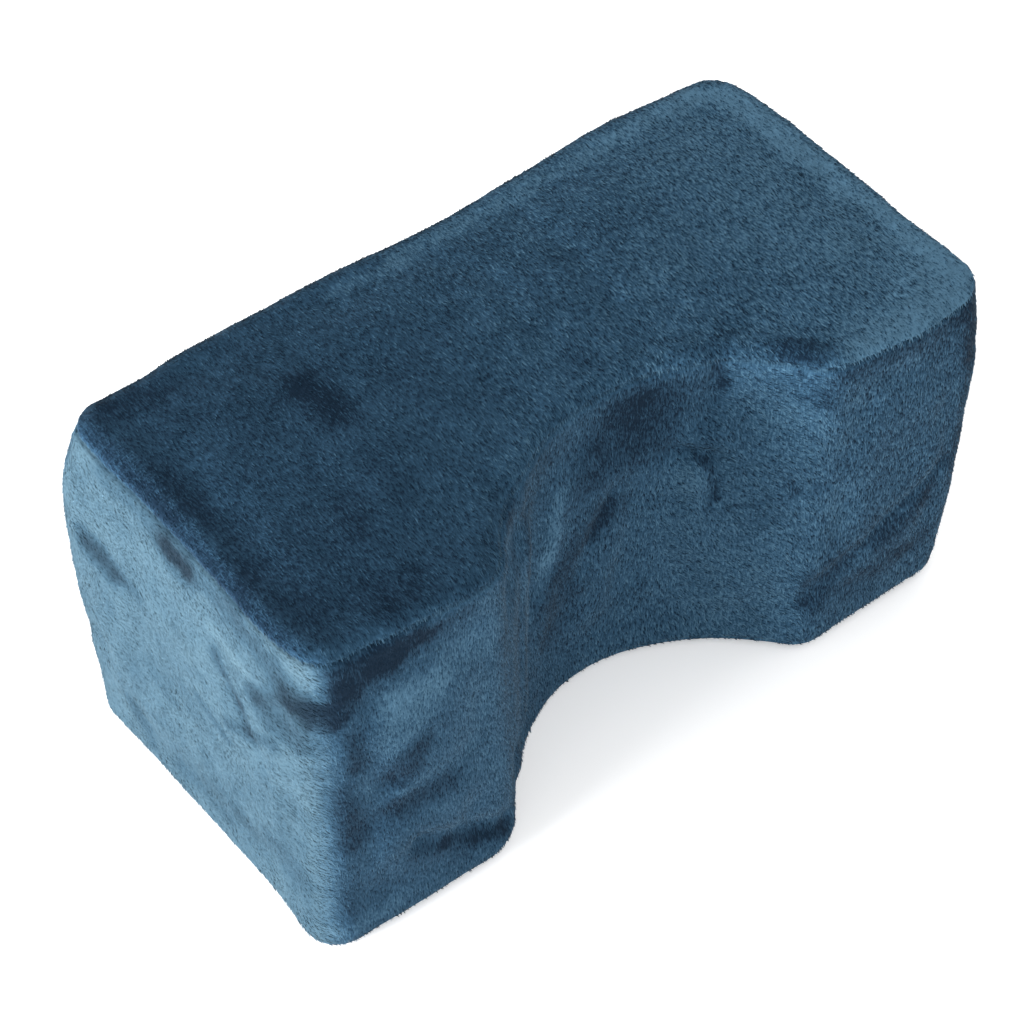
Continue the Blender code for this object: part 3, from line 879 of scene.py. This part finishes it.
def plush_material(name, pile, on_pile):
    """Blue plush: deep and pale blues mixed by the way it is brushed and by painted light and shade, greyed
    by painted sheen, streaks along the nap, and sheen.
    """
    material = bpy.data.materials.new(name)
    material.use_nodes = True
    tree = material.node_tree
    shader = tree.nodes["Principled BSDF"]
    places = add(tree, "ShaderNodeTexCoord").outputs["Object"]
    shade = add(tree, "ShaderNodeAttribute", attribute_name="shade").outputs["Fac"]
    cloth = add(tree, "ShaderNodeAttribute", attribute_name="cloth").outputs["Vector"]
    tone = add(tree, "ShaderNodeAttribute", attribute_name="tone").outputs["Fac"]
    tip = add(tree, "ShaderNodeAttribute", attribute_name="tip").outputs["Fac"]
    painted_sheen = add(tree, "ShaderNodeAttribute", attribute_name="painted_sheen").outputs["Fac"]
    grain = add(tree, "ShaderNodeAttribute", attribute_name="grain").outputs["Fac"]

    def cloud(vector, scale, detail=2.0, roughness=0.5):
        made = add(tree, "ShaderNodeTexNoise", noise_dimensions="3D")
        feed(tree, made.inputs["Vector"], vector)
        made.inputs["Scale"].default_value = scale
        made.inputs["Detail"].default_value = detail
        made.inputs["Roughness"].default_value = roughness
        return maths(tree, "SUBTRACT", made.outputs["Fac"], 0.5)

    stretch = vectors(tree, "MULTIPLY", cloth, (1 / STREAK_SIZE[0], 1 / STREAK_SIZE[1], 1.0))
    streaks = cloud(stretch, 1.0)
    broad = cloud(places, BROAD)
    patchy = cloud(places, PATCHY, 3.0)
    texture = maths(tree, "MULTIPLY", streaks, STREAK_WEIGHT)
    if on_pile:
        # A random tone for each lock, with a painted highlight on its tip and painted shade at its root
        for value, weight in ((tone, TONE_WEIGHT), (tip, TIP_WEIGHT)):
            centred = maths(tree, "SUBTRACT", value, 0.5)
            texture = maths(tree, "MULTIPLY_ADD", centred, weight, texture)
    amount = maths(tree, "MULTIPLY_ADD", shade, SHADE_WEIGHT, USUAL)
    for value, weight in ((texture, grain), (broad, CLOUD_WEIGHT), (patchy, CLOUD_WEIGHT)):
        amount = maths(tree, "MULTIPLY_ADD", value, weight, amount)
    blend = add(tree, "ShaderNodeValToRGB")
    feed(tree, blend.inputs["Fac"], amount)
    stops = blend.color_ramp.elements
    stops[0].position, stops[0].color = 0.0, (*pile.deep, 1.0)
    stops[1].position, stops[1].color = 1.0, (*pile.pale, 1.0)
    stops.new(0.5).color = (*pile.colour, 1.0)
    # Painted sheen: the colour is multiplied by the painted sheen colour where the key light grazes the left
    # end
    greyed = add(tree, "ShaderNodeMix", data_type="RGBA", blend_type="MULTIPLY")
    feed(tree, greyed.inputs[0], painted_sheen)
    colours = [socket for socket in greyed.inputs if socket.type == "RGBA"]
    feed(tree, colours[0], blend.outputs["Color"])
    colours[1].default_value = (*pile.painted_sheen, 1.0)
    result = [socket for socket in greyed.outputs if socket.type == "RGBA"][0]
    feed(tree, shader.inputs["Base Color"], result)
    shader.inputs["Roughness"].default_value = 0.92
    shader.inputs["Specular IOR Level"].default_value = 0.12
    shader.inputs["Sheen Weight"].default_value = 0.09
    shader.inputs["Sheen Roughness"].default_value = 0.35
    shader.inputs["Sheen Tint"].default_value = (*pile.tint, 1.0)
    if not on_pile:
        bump = add(tree, "ShaderNodeBump")
        bump.inputs["Strength"].default_value = 0.5
        bump.inputs["Distance"].default_value = 0.0004
        feed(tree, bump.inputs["Height"], streaks)
        feed(tree, shader.inputs["Normal"], bump.outputs["Normal"])
    return material


def make_cover(sizes, pile):
    points, faces, parts, cloth, from_seam = cover_form(sizes)
    table = np.array(faces)
    normals = outward_normals(points, table)
    mesh = bpy.data.meshes.new("cover")
    mesh.from_pydata(points.tolist(), [], [tuple(map(int, f)) for f in faces])
    set_attribute(mesh, "part", "INT", "FACE", parts.astype(np.int32))
    set_attribute(mesh, "from_seam", "FLOAT", "POINT", from_seam.astype(np.float32))
    layer = mesh.uv_layers.new(name="cloth")
    layer.data.foreach_set("uv", cloth.astype(np.float32).ravel())
    cover = new_object("cover", mesh)
    held = np.clip((SEWN_REACH - np.abs(from_seam)) / SEWN_REACH * 2.0, 0.0, 1.0)
    held[points[:, 2] < BOTTOM_EDGE_RADIUS] = 1.0
    free = np.clip((apart_from_seam(points, sizes) - FADE_START) / FADE_REACH, 0.0, 1.0)
    free = free**2 * (3 - 2 * free) * (held < 1)
    free *= np.where(points[:, 2] > sizes.height - MM, UPPER_FREE, 1.0)
    points = puff(cover, points, normals, held, free)
    write_points(mesh, points)
    smooth = cover.modifiers.new("finer", "SUBSURF")
    smooth.levels = smooth.render_levels = 1
    smooth.uv_smooth = "NONE"
    fine = evaluated_copy(cover)
    cover.modifiers.remove(smooth)
    cover.data = fine
    fine.name = "cover"
    bpy.data.meshes.remove(mesh)

    points = read_points(fine)
    quads = np.zeros(len(fine.loops), np.int32)
    fine.loops.foreach_get("vertex_index", quads)
    quads = quads.reshape(-1, 4)
    normals = outward_normals(points, quads)
    points = fold(points, normals)
    seamwise = np.zeros(len(points), np.float32)
    fine.attributes["from_seam"].data.foreach_get("value", seamwise)
    fine.attributes.remove(fine.attributes["from_seam"])
    normals = outward_normals(points, quads)
    free = np.clip(points[:, 2] / FOLD_FREE, 0.0, 1.0)[:, None]
    ripple = sum(waver(points, scale, seed) * height for scale, height, seed in RIPPLES)
    points = points + normals * (ripple[:, None] * free - pile.length * pile.rise * ROOT_DEPTH)
    points = draw_in_seams(points, normals, seamwise, sizes)
    above = ((seamwise > 0) | (normals[:, 2] > 0.7)) & (points[:, 2] > sizes.height / 2)
    shade, painted_sheen, grain = painted_light_and_nap(points, normals, above, seamwise)
    nap = nap_way(normals)
    middle = (CAD_LOW + CAD_HIGH) / 2
    mine = (points.min(axis=0) + points.max(axis=0)) / 2
    points[:, :2] += np.array(middle[:2]) - mine[:2]
    points[:, 2] = np.maximum(points[:, 2], pile.length * pile.rise * 0.5)
    write_points(fine, points)
    for name, values in (("shade", shade), ("painted_sheen", painted_sheen), ("grain", grain)):
        set_attribute(fine, name, "FLOAT", "POINT", values.astype(np.float32))
    set_attribute(fine, "nap", "FLOAT_VECTOR", "POINT", nap.astype(np.float32))
    fine.shade_smooth()
    fine.materials.append(plush_material("plush_ground", pile, False))
    return cover


def pile_tree():
    """The node tree that sets locks of pile on the parts of the cover that it is given."""
    tree = bpy.data.node_groups.new("locks_of_pile", "GeometryNodeTree")
    ins = [
        ("Cover", "NodeSocketGeometry", None),
        ("First part", "NodeSocketInt", 0),
        ("Second part", "NodeSocketInt", 0),
        ("Density", "NodeSocketFloat", 1.0e6),
        ("Length", "NodeSocketFloat", 0.0026),
        ("Width", "NodeSocketFloat", 0.0009),
        ("Rise", "NodeSocketFloat", 0.36),
        ("Wander", "NodeSocketFloat", 0.45),
        ("Contrast", "NodeSocketFloat", 1.0),
        ("Seed", "NodeSocketInt", 1),
        ("Material", "NodeSocketMaterial", None),
    ]
    for name, kind, default in ins:
        socket = tree.interface.new_socket(name=name, in_out="INPUT", socket_type=kind)
        if default is not None:
            socket.default_value = default
    tree.interface.new_socket(name="Pile", in_out="OUTPUT", socket_type="NodeSocketGeometry")
    given = add(tree, "NodeGroupInput").outputs
    result = add(tree, "NodeGroupOutput")

    def random(low, high, offset):
        made = add(tree, "FunctionNodeRandomValue", data_type="FLOAT")
        sockets = [s for s in made.inputs if s.type == "VALUE"]
        sockets[0].default_value, sockets[1].default_value = low, high
        feed(tree, made.inputs["Seed"], maths(tree, "ADD", given["Seed"], float(offset)))
        return [s for s in made.outputs if s.type == "VALUE"][0]

    def same(a, b):
        made = add(tree, "FunctionNodeCompare", data_type="INT", operation="EQUAL")
        sockets = [s for s in made.inputs if s.type == "INT"]
        feed(tree, sockets[0], a)
        feed(tree, sockets[1], b)
        return made.outputs[0]

    part = add(tree, "GeometryNodeInputNamedAttribute", data_type="INT")
    part.inputs["Name"].default_value = "part"
    part = [s for s in part.outputs if s.type == "INT"][0]
    chosen = add(tree, "FunctionNodeBooleanMath", operation="OR")
    feed(tree, chosen.inputs[0], same(part, given["First part"]))
    feed(tree, chosen.inputs[1], same(part, given["Second part"]))

    scatter = add(tree, "GeometryNodeDistributePointsOnFaces", distribute_method="POISSON")
    feed(tree, scatter.inputs["Mesh"], given["Cover"])
    feed(tree, scatter.inputs["Selection"], chosen.outputs[0])
    feed(tree, scatter.inputs["Distance Min"], maths(tree, "MULTIPLY", given["Width"], CLOSEST))
    feed(tree, scatter.inputs["Density Max"], given["Density"])
    feed(tree, scatter.inputs["Seed"], given["Seed"])
    upward = scatter.outputs["Normal"]

    way = add(tree, "GeometryNodeInputNamedAttribute", data_type="FLOAT_VECTOR")
    way.inputs["Name"].default_value = "nap"
    way = [s for s in way.outputs if s.type == "VECTOR"][0]
    position = add(tree, "GeometryNodeInputPosition").outputs[0]

    def drift(scale, amount):
        made = add(tree, "ShaderNodeTexNoise", noise_dimensions="3D")
        feed(tree, made.inputs["Vector"], position)
        made.inputs["Scale"].default_value = scale
        made.inputs["Detail"].default_value = 1.0
        middle = vectors(tree, "SUBTRACT", made.outputs["Color"], (0.5, 0.5, 0.5))
        return vectors(tree, "SCALE", middle, scale=maths(tree, "MULTIPLY", given["Wander"], amount))

    store = add(tree, "GeometryNodeStoreNamedAttribute", data_type="FLOAT", domain="POINT")
    feed(tree, store.inputs["Geometry"], scatter.outputs["Points"])
    store.inputs["Name"].default_value = "tone"
    spread = maths(tree, "MULTIPLY", given["Contrast"], random(-0.5, 0.5, 3))
    feed(tree, [s for s in store.inputs if s.type == "VALUE"][0], maths(tree, "ADD", spread, 0.5))

    lie = add(tree, "GeometryNodeStoreNamedAttribute", data_type="FLOAT_VECTOR", domain="POINT")
    feed(tree, lie.inputs["Geometry"], store.outputs["Geometry"])
    lie.inputs["Name"].default_value = "ground"
    feed(tree, [s for s in lie.inputs if s.type == "VECTOR"][0], upward)

    lean = vectors(tree, "ADD", way, drift(60.0, 1.2))
    lean = vectors(tree, "ADD", lean, drift(420.0, 1.8))
    steep = maths(tree, "MULTIPLY", given["Rise"], random(0.55, 1.45, 5))
    lean = vectors(tree, "ADD", lean, vectors(tree, "SCALE", upward, scale=steep))
    turn = add(tree, "FunctionNodeAxesToRotation", primary_axis="Z", secondary_axis="X")
    feed(tree, turn.inputs[0], lean)
    feed(tree, turn.inputs[1], upward)

    cone = add(tree, "GeometryNodeMeshCone", fill_type="NGON")
    cone.inputs["Vertices"].default_value = 3
    cone.inputs["Side Segments"].default_value = 1
    cone.inputs["Fill Segments"].default_value = 1
    cone.inputs["Radius Top"].default_value = 0.0
    cone.inputs["Radius Bottom"].default_value = 0.5
    cone.inputs["Depth"].default_value = 1.0
    height = add(tree, "ShaderNodeSeparateXYZ")
    feed(tree, height.inputs[0], position)
    mark = add(tree, "GeometryNodeStoreNamedAttribute", data_type="FLOAT", domain="POINT")
    feed(tree, mark.inputs["Geometry"], cone.outputs["Mesh"])
    mark.inputs["Name"].default_value = "tip"
    feed(tree, [s for s in mark.inputs if s.type == "VALUE"][0], height.outputs["Z"])
    soft = add(tree, "GeometryNodeSetShadeSmooth")
    feed(tree, soft.inputs["Geometry"], mark.outputs["Geometry"])
    soft.inputs["Shade Smooth"].default_value = True

    size = add(tree, "ShaderNodeCombineXYZ")
    feed(tree, size.inputs["X"], maths(tree, "MULTIPLY", given["Width"], FLATNESS))
    feed(tree, size.inputs["Y"], maths(tree, "MULTIPLY", given["Width"], random(0.75, 1.25, 7)))
    feed(tree, size.inputs["Z"], maths(tree, "MULTIPLY", given["Length"], random(0.70, 1.20, 9)))
    instances = add(tree, "GeometryNodeInstanceOnPoints")
    feed(tree, instances.inputs["Points"], lie.outputs["Geometry"])
    feed(tree, instances.inputs["Instance"], soft.outputs["Geometry"])
    feed(tree, instances.inputs["Rotation"], turn.outputs[0])
    feed(tree, instances.inputs["Scale"], size.outputs[0])
    real = add(tree, "GeometryNodeRealizeInstances")
    feed(tree, real.inputs[0], instances.outputs[0])
    dye = add(tree, "GeometryNodeSetMaterial")
    feed(tree, dye.inputs["Geometry"], real.outputs[0])
    feed(tree, dye.inputs["Material"], given["Material"])
    feed(tree, result.inputs[0], dye.outputs[0])
    return tree


def bake_map(mesh):
    """Gives each lock its own small cell of a map, from its root to its tip."""
    count = len(mesh.vertices) // 4
    across = math.ceil(math.sqrt(count))
    tip = np.zeros(len(mesh.vertices), np.float32)
    mesh.attributes["tip"].data.foreach_get("value", tip)
    lock = np.arange(len(mesh.vertices)) // 4
    within = np.tile(np.array([[0.1, 0.1], [0.9, 0.1], [0.5, 0.3], [0.5, 0.3]]), (count, 1))
    within[tip > 0.5] = (0.5, 0.9)
    cell = np.column_stack([lock % across, lock // across])
    spot = (cell + within) / across
    corners = np.zeros(len(mesh.loops), np.int32)
    mesh.loops.foreach_get("vertex_index", corners)
    layer = mesh.uv_layers.new(name="OFBake")
    layer.data.foreach_set("uv", spot[corners].astype(np.float32).ravel())


def soften_normals(mesh):
    """Turns the locks' shading normals most of the way to the cloth's, so that they shade as one surface."""
    own = np.zeros(len(mesh.vertices) * 3)
    mesh.vertices.foreach_get("normal", own)
    ground = np.zeros(len(mesh.vertices) * 3)
    mesh.attributes["ground"].data.foreach_get("vector", ground)
    mixed = own.reshape(-1, 3) * (1 - SOFTNESS) + ground.reshape(-1, 3) * SOFTNESS
    mixed /= np.linalg.norm(mixed, axis=1, keepdims=True)
    mesh.normals_split_custom_set_from_vertices(mixed.tolist())
    mesh.attributes.remove(mesh.attributes["ground"])


def make_pile(cover, pile):
    material = plush_material("plush_pile", pile, True)
    tree = pile_tree()
    made = []
    for seed, (name, parts, density, contrast) in enumerate(PILE, 1):
        source = new_object(name + "_source", cover.data)
        modifier = source.modifiers.new("pile", "NODES")
        modifier.node_group = tree
        keys = {s.name: s.identifier for s in tree.interface.items_tree if s.in_out == "INPUT"}
        modifier[keys["First part"]] = parts[0]
        modifier[keys["Second part"]] = parts[-1]
        modifier[keys["Density"]] = density * 1.0e6
        modifier[keys["Length"]] = pile.length
        modifier[keys["Width"]] = pile.width
        modifier[keys["Rise"]] = pile.rise
        modifier[keys["Contrast"]] = contrast
        modifier[keys["Seed"]] = seed
        modifier[keys["Material"]] = material
        mesh = evaluated_copy(source)
        source.modifiers.remove(modifier)
        bpy.data.objects.remove(source)
        mesh.name = name
        mesh.materials.clear()
        mesh.materials.append(material)
        mesh.polygons.foreach_set("material_index", np.zeros(len(mesh.polygons), np.int32))
        bake_map(mesh)
        soften_normals(mesh)
        spots = read_points(mesh)
        spots[:, 2] = np.maximum(spots[:, 2], 0.0)  # no lock reaches below the floor
        write_points(mesh, spots)
        piece = new_object(name, mesh)
        made.append(piece)
    return made


def make_floor():
    mesh = bpy.data.meshes.new("floor")
    corners = [(x * FLOOR_REACH, y * FLOOR_REACH, 0) for x, y in ((-1, -1), (1, -1), (1, 1), (-1, 1))]
    mesh.from_pydata(corners, [], [(0, 1, 2, 3)])
    material = bpy.data.materials.new("pale_floor")
    material.use_nodes = True
    shader = material.node_tree.nodes["Principled BSDF"]
    shader.inputs["Base Color"].default_value = (0.93, 0.93, 0.93, 1.0)
    shader.inputs["Roughness"].default_value = 0.9
    shader.inputs["Specular IOR Level"].default_value = 0.1
    shader.inputs["Emission Color"].default_value = (1.0, 1.0, 1.0, 1.0)
    shader.inputs["Emission Strength"].default_value = 0.32
    mesh.materials.append(material)
    floor = new_object("floor", mesh)
    return floor


def make_light(name, power, size, place, aim):
    data = bpy.data.lights.new(name, "AREA")
    data.shape = "DISK"
    data.size = size
    data.energy = power
    lamp = new_object(name, data)
    lamp.location = place
    lamp.rotation_mode = "QUATERNION"
    lamp.rotation_quaternion = (Vector(aim) - Vector(place)).to_track_quat("-Z", "Y")
    return lamp


def make_camera():
    data = bpy.data.cameras.new("camera")
    data.lens = CAMERA_LENS
    data.sensor_width = 36.0
    camera = new_object("camera", data)
    right = Vector(CAMERA_RIGHT).normalized()
    back = Vector(CAMERA_BACK).normalized()
    up = back.cross(right)
    turn = Matrix((right, up, back)).transposed().to_4x4()
    camera.matrix_world = Matrix.Translation(CAMERA_PLACE) @ turn
    bpy.context.scene.camera = camera
    return camera


class KNEEPILLOW_OT_cover(bpy.types.Operator):
    """Make the plush cover, filled and folded"""

    bl_idname = "kneepillow.cover"
    bl_label = "Cover"

    def execute(self, context):
        cover = make_cover(context.scene.knee_pillow_sizes, context.scene.knee_pillow_pile)
        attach(cover, "root")
        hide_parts("pillow")
        return {"FINISHED"}


class KNEEPILLOW_OT_pile(bpy.types.Operator):
    """Set the locks of pile on the cover"""

    bl_idname = "kneepillow.pile"
    bl_label = "Pile"

    def execute(self, context):
        for piece in make_pile(bpy.data.objects["cover"], context.scene.knee_pillow_pile):
            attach(piece, "root")
        return {"FINISHED"}


class KNEEPILLOW_OT_stage(bpy.types.Operator):
    """Make the pale floor, the soft light and the camera"""

    bl_idname = "kneepillow.stage"
    bl_label = "Stage"

    def execute(self, context):
        studio = context.scene.knee_pillow_studio
        make_floor()
        make_light("key", studio.key, KEY_SIZE, KEY_PLACE, KEY_AIM)
        make_camera()
        world = bpy.data.worlds.new("even_light")
        world.use_nodes = True
        background = world.node_tree.nodes["Background"]
        background.inputs["Color"].default_value = (1.0, 1.0, 1.0, 1.0)
        background.inputs["Strength"].default_value = studio.sky
        context.scene.world = world
        context.scene.view_settings.view_transform = "Standard"
        return {"FINISHED"}


class KNEEPILLOW_PT_pieces(bpy.types.Panel):
    bl_idname = "KNEEPILLOW_PT_pieces"
    bl_label = "Knee pillow"
    bl_space_type = "VIEW_3D"
    bl_region_type = "UI"
    bl_category = "Knee pillow"

    def draw(self, context):
        column = self.layout.column()
        for settings in ("knee_pillow_sizes", "knee_pillow_pile", "knee_pillow_studio"):
            group = getattr(context.scene, settings)
            for name in group.__annotations__:
                column.prop(group, name)
        for step in STEPS:
            column.operator(step.bl_idname)


STEPS = (KNEEPILLOW_OT_cover, KNEEPILLOW_OT_pile, KNEEPILLOW_OT_stage)
SETTINGS = {
    "knee_pillow_sizes": KneePillowSizes,
    "knee_pillow_pile": KneePillowPile,
    "knee_pillow_studio": KneePillowStudio,
}


def register():
    for group in (*SETTINGS.values(), *STEPS, KNEEPILLOW_PT_pieces):
        bpy.utils.register_class(group)
    for name, group in SETTINGS.items():
        setattr(bpy.types.Scene, name, bpy.props.PointerProperty(type=group))


def unregister():
    for name in SETTINGS:
        delattr(bpy.types.Scene, name)
    for group in (KNEEPILLOW_PT_pieces, *reversed(STEPS), *reversed(SETTINGS.values())):
        bpy.utils.unregister_class(group)


def main():
    register()
    bpy.ops.kneepillow.cover()
    bpy.ops.kneepillow.pile()
    bpy.ops.kneepillow.stage()


if __name__ == "__main__":
    main()
